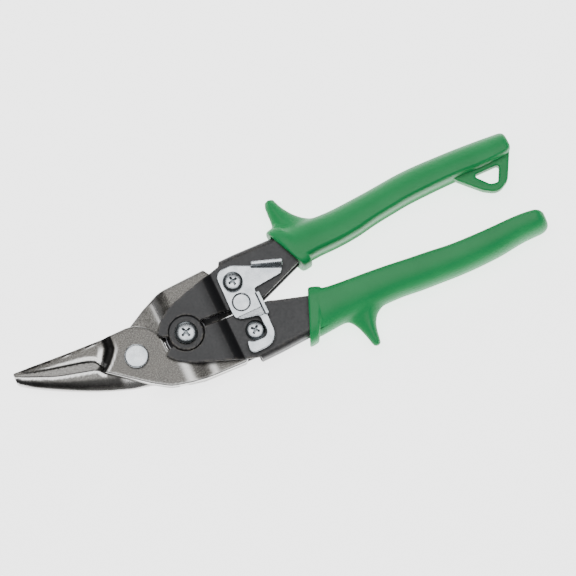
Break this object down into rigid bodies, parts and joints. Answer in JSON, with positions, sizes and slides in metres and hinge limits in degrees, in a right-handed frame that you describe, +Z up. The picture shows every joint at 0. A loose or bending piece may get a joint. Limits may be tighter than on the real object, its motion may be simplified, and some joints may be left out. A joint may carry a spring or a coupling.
{
  "type": "aviation snips",
  "caption": "Compound-action aviation snips with joggled forged blades, channel handles, sleeved vinyl grips with finger guards, a swinging latch and a lanyard loop.",
  "frame": {"origin": "bottom centre of the closed tool's box, on the plane that the grips and the blade pivot nut rest on", "axes": "+X from the jaw tips to the handle ends, +Y towards the handle that carries the latch, +Z up along the pivots"},
  "size_m": [0.249, 0.082, 0.0213],
  "materials": {
    "forged_steel": "sand-blasted forged steel with ground edges",
    "black_paint": "satin black paint on folded sheet steel",
    "green_vinyl": "satin moulded green vinyl",
    "zinc_plate": "bright zinc plating",
    "spring_steel": "drawn spring wire"
  },
  "bodies": {
    "lower_jaw": {"lower_jaw_blade": "forged_steel", "blade_pivot_bolt": "zinc_plate", "blade_pivot_washer": "zinc_plate", "blade_pivot_nut": "zinc_plate"},
    "upper_jaw": {"upper_jaw_blade": "forged_steel"},
    "lower_handle": {"lower_handle_frame": "black_paint", "lower_grip": "green_vinyl", "lower_tang_bolt": "zinc_plate", "lower_tang_nut": "zinc_plate", "handle_pivot_bolt": "zinc_plate", "handle_pivot_sleeve": "zinc_plate", "handle_pivot_washer": "zinc_plate", "handle_pivot_nut": "zinc_plate", "opening_spring": "spring_steel"},
    "upper_handle": {"upper_handle_frame": "black_paint", "upper_grip": "green_vinyl", "upper_tang_bolt": "zinc_plate", "upper_tang_nut": "zinc_plate", "latch_spring_washer": "spring_steel"},
    "latch": {"latch": "zinc_plate"}
  },
  "joints": [
    {"name": "blade_pivot", "type": "hinge", "parent": "lower_jaw", "child": "upper_jaw", "pos_m": [-0.0708, 0, 0.0095], "axis": [0, 0, -1], "range_deg": [0, 15.4]},
    {"name": "lower_handle_pivot", "type": "hinge", "parent": "upper_jaw", "child": "lower_handle", "pos_m": [-0.0174, -0.012, 0.0095], "axis": [0, 0, -1], "range_deg": [0, 7.35]},
    {"name": "upper_handle_pivot", "type": "hinge", "parent": "lower_jaw", "child": "upper_handle", "pos_m": [-0.0174, 0.012, 0.0095], "axis": [0, 0, 1], "range_deg": [0, 7.35]},
    {"name": "latch_pivot", "type": "hinge", "parent": "upper_handle", "child": "latch", "pos_m": [-0.0174, 0.012, 0.0095], "axis": [0, 0, 1], "range_deg": [0, 35]}
  ],
  "couplings": [
    {"joint": "lower_handle_pivot", "follows": "blade_pivot", "ratio": 0.4745},
    {"joint": "upper_handle_pivot", "follows": "blade_pivot", "ratio": 0.4745}
  ]
}
